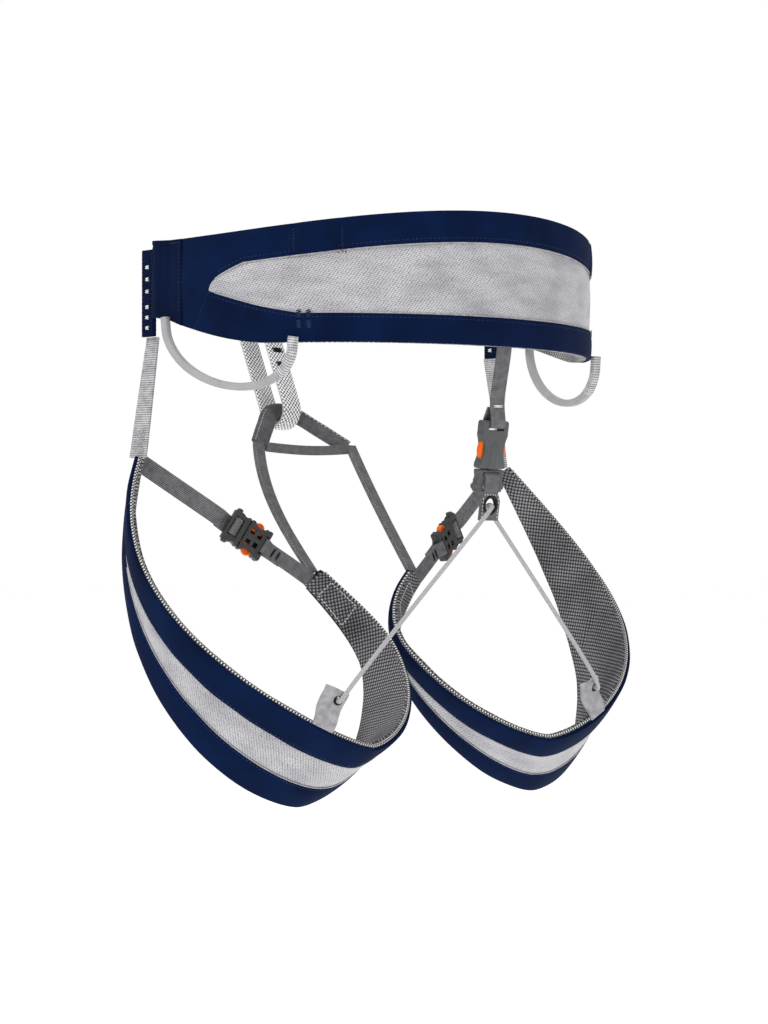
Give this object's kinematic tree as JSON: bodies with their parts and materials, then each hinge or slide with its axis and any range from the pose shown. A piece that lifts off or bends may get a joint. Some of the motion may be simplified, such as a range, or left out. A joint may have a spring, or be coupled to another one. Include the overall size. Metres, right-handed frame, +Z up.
{
  "type": "climbing harness",
  "caption": "Climbing harness: padded waistbelt with front buckle, belay loop, gear loops and two adjustable leg loops held by risers and an elastic rear strap.",
  "frame": {"origin": "centre of the waist ring, between the belt's upper edge and its lower third", "axes": "+Z up, -Y the front with the belay loop, +X the wearer's left"},
  "size_m": [0.4026, 0.2792, 0.3767],
  "materials": {
    "navy_fabric": "matt",
    "panel_mesh": "matt",
    "spacer_mesh": "matt",
    "grey_webbing": "matt",
    "light_webbing": "matt",
    "belay_webbing": "matt",
    "elastic_cord": "matt",
    "gear_loop_sheath": "satin",
    "buckle_plastic": "satin",
    "orange_plastic": "satin",
    "anodised_aluminium": "brushed"
  },
  "bodies": {
    "harness": {"waist_pad": "spacer_mesh", "waist_upper_band": "navy_fabric", "waist_mesh_panel": "panel_mesh", "waist_lower_band": "navy_fabric", "cuff_left": "navy_fabric", "riser_sleeve_left": "navy_fabric", "cuff_right": "navy_fabric", "riser_sleeve_right": "navy_fabric", "front_web_right": "grey_webbing", "front_web_left": "grey_webbing", "waist_tail": "grey_webbing", "buckle_frame": "anodised_aluminium", "tail_keeper": "grey_webbing", "upper_tie_in_loop": "grey_webbing", "belay_loop": "belay_webbing", "lower_tie_in_loop": "grey_webbing", "cross_strap": "grey_webbing", "leg_lining_left": "spacer_mesh", "leg_upper_band_left": "navy_fabric", "leg_lower_band_left": "navy_fabric", "leg_mesh_panel_left": "panel_mesh", "leg_lining_right": "spacer_mesh", "leg_upper_band_right": "navy_fabric", "leg_lower_band_right": "navy_fabric", "leg_mesh_panel_right": "panel_mesh", "riser_left": "light_webbing", "leg_web_outer_left": "grey_webbing", "leg_web_inner_left": "grey_webbing", "leg_buckle_left_housing": "buckle_plastic", "leg_buckle_left_plug": "buckle_plastic", "tie_in_strap_left": "grey_webbing", "riser_right": "light_webbing", "leg_web_outer_right": "grey_webbing", "leg_web_inner_right": "grey_webbing", "leg_buckle_right_housing": "buckle_plastic", "leg_buckle_right_plug": "buckle_plastic", "tie_in_strap_right": "grey_webbing", "rear_strap": "grey_webbing", "rear_buckle_housing": "buckle_plastic", "rear_buckle_plug": "buckle_plastic", "eyelet_tab": "grey_webbing", "eyelet_grommet": "buckle_plastic", "rear_tab_left": "light_webbing", "rear_tab_right": "light_webbing", "elastic_cord": "elastic_cord"},
    "buckle_slider": {"buckle_slider": "anodised_aluminium"},
    "gear_loop_left": {"gear_loop_left": "gear_loop_sheath"},
    "gear_loop_right": {"gear_loop_right": "gear_loop_sheath"},
    "leg_buckle_left_latch_a": {"leg_buckle_left_latch_a": "orange_plastic"},
    "leg_buckle_left_latch_b": {"leg_buckle_left_latch_b": "orange_plastic"},
    "leg_buckle_right_latch_a": {"leg_buckle_right_latch_a": "orange_plastic"},
    "leg_buckle_right_latch_b": {"leg_buckle_right_latch_b": "orange_plastic"},
    "rear_buckle_latch_a": {"rear_buckle_latch_a": "orange_plastic"},
    "rear_buckle_latch_b": {"rear_buckle_latch_b": "orange_plastic"}
  },
  "joints": [
    {"name": "leg_buckle_left_press_a", "type": "hinge", "parent": "harness", "child": "leg_buckle_left_latch_a", "pos_m": [0.08773, -0.02081, -0.17463], "axis": [-0.2904, -0.9551, -0.0589], "range_deg": [0, 8], "stiffness_Nm_per_rad": 0.05},
    {"name": "leg_buckle_left_press_b", "type": "hinge", "parent": "harness", "child": "leg_buckle_left_latch_b", "pos_m": [0.09342, -0.02199, -0.18361], "axis": [0.2904, 0.9551, 0.0589], "range_deg": [0, 8], "stiffness_Nm_per_rad": 0.05},
    {"name": "leg_buckle_right_press_a", "type": "hinge", "parent": "harness", "child": "leg_buckle_right_latch_a", "pos_m": [-0.09342, -0.02199, -0.18361], "axis": [0.2904, -0.9551, -0.0589], "range_deg": [0, 8], "stiffness_Nm_per_rad": 0.05},
    {"name": "leg_buckle_right_press_b", "type": "hinge", "parent": "harness", "child": "leg_buckle_right_latch_b", "pos_m": [-0.08773, -0.02081, -0.17463], "axis": [-0.2904, 0.9551, 0.0589], "range_deg": [0, 8], "stiffness_Nm_per_rad": 0.05},
    {"name": "rear_buckle_press_a", "type": "hinge", "parent": "harness", "child": "rear_buckle_latch_a", "pos_m": [0.00535, 0.11567, -0.13754], "axis": [0, -0.9874, 0.158], "range_deg": [0, 8], "stiffness_Nm_per_rad": 0.05},
    {"name": "rear_buckle_press_b", "type": "hinge", "parent": "harness", "child": "rear_buckle_latch_b", "pos_m": [-0.00535, 0.11567, -0.13754], "axis": [0, 0.9874, -0.158], "range_deg": [0, 8], "stiffness_Nm_per_rad": 0.05},
    {"name": "slider_shift", "type": "slide", "parent": "harness", "child": "buckle_slider", "axis": [0.925, 0.3801, 0], "range_m": [-0.004, 0.004]},
    {"name": "gear_loop_left_swing", "type": "hinge", "parent": "harness", "child": "gear_loop_left", "pos_m": [0.16099, -0.0138, -0.04179], "axis": [0.2822, -0.9454, 0.1627], "range_deg": [0, 55]},
    {"name": "gear_loop_right_swing", "type": "hinge", "parent": "harness", "child": "gear_loop_right", "pos_m": [-0.16099, -0.0138, -0.04179], "axis": [0.2822, 0.9454, -0.1627], "range_deg": [0, 55]}
  ],
  "couplings": [
    {"joint": "leg_buckle_left_press_b", "follows": "leg_buckle_left_press_a", "ratio": 1},
    {"joint": "leg_buckle_right_press_b", "follows": "leg_buckle_right_press_a", "ratio": 1},
    {"joint": "rear_buckle_press_b", "follows": "rear_buckle_press_a", "ratio": 1}
  ]
}
